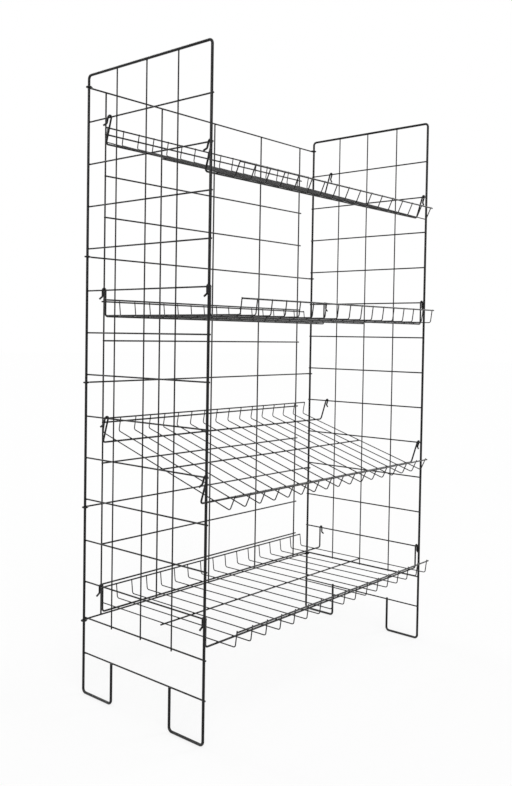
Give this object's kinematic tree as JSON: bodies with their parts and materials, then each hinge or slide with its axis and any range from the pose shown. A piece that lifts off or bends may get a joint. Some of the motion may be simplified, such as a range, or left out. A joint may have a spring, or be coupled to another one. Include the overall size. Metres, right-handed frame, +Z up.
{
  "type": "wire display rack",
  "caption": "Free-standing black wire display rack with looped feet, gridded side and back panels and lift-off hook-on shelves, some level and some tilted forward.",
  "frame": {"origin": "on the floor, at the middle of the four posts", "axes": "+Z up, +X towards the right side panel as seen from the front, +Y from the front towards the back panel"},
  "size_m": [0.9272, 0.475, 1.505],
  "materials": {
    "panel_coat": "glossy black powder coat on steel wire",
    "shelf_coat": "glossy black powder coat on steel wire"
  },
  "bodies": {
    "frame": {"left_frame_wire": "panel_coat", "left_shelf_rails": "panel_coat", "left_lower_rail": "panel_coat", "left_foot_rail": "panel_coat", "left_upright_wires": "panel_coat", "right_frame_wire": "panel_coat", "right_shelf_rails": "panel_coat", "right_lower_rail": "panel_coat", "right_foot_rail": "panel_coat", "right_upright_wires": "panel_coat", "back_hinge_wire_1": "panel_coat", "back_hinge_wire_2": "panel_coat", "back_hinge_wire_3": "panel_coat", "back_hinge_wire_4": "panel_coat", "back_hinge_wire_5": "panel_coat", "back_row_wires": "panel_coat", "back_upright_wires": "panel_coat"},
    "shelf_1": {"shelf_1_rear_hook_wire": "shelf_coat", "shelf_1_front_hook_wire": "shelf_coat", "shelf_1_cross_wires": "shelf_coat", "shelf_1_middle_wire": "shelf_coat", "shelf_1_backstop_wire": "shelf_coat", "shelf_1_lip_wire": "shelf_coat"},
    "shelf_2": {"shelf_2_rear_hook_wire": "shelf_coat", "shelf_2_front_hook_wire": "shelf_coat", "shelf_2_cross_wires": "shelf_coat", "shelf_2_middle_wire": "shelf_coat", "shelf_2_backstop_wire": "shelf_coat", "shelf_2_lip_wire": "shelf_coat"},
    "shelf_3": {"shelf_3_rear_hook_wire": "shelf_coat", "shelf_3_front_hook_wire": "shelf_coat", "shelf_3_cross_wires": "shelf_coat", "shelf_3_middle_wire": "shelf_coat", "shelf_3_backstop_wire": "shelf_coat", "shelf_3_lip_wire": "shelf_coat"},
    "shelf_4": {"shelf_4_rear_hook_wire": "shelf_coat", "shelf_4_front_hook_wire": "shelf_coat", "shelf_4_cross_wires": "shelf_coat", "shelf_4_middle_wire": "shelf_coat", "shelf_4_backstop_wire": "shelf_coat", "shelf_4_lip_wire": "shelf_coat"}
  },
  "joints": [
    {"name": "shelf_1_lift", "type": "slide", "parent": "frame", "child": "shelf_1", "axis": [0, 0, 1], "range_m": [0, 0.085]},
    {"name": "shelf_2_lift", "type": "slide", "parent": "frame", "child": "shelf_2", "axis": [0, 0, 1], "range_m": [0, 0.085]},
    {"name": "shelf_3_lift", "type": "slide", "parent": "frame", "child": "shelf_3", "axis": [0, 0, 1], "range_m": [0, 0.085]},
    {"name": "shelf_4_lift", "type": "slide", "parent": "frame", "child": "shelf_4", "axis": [0, 0, 1], "range_m": [0, 0.085]}
  ]
}
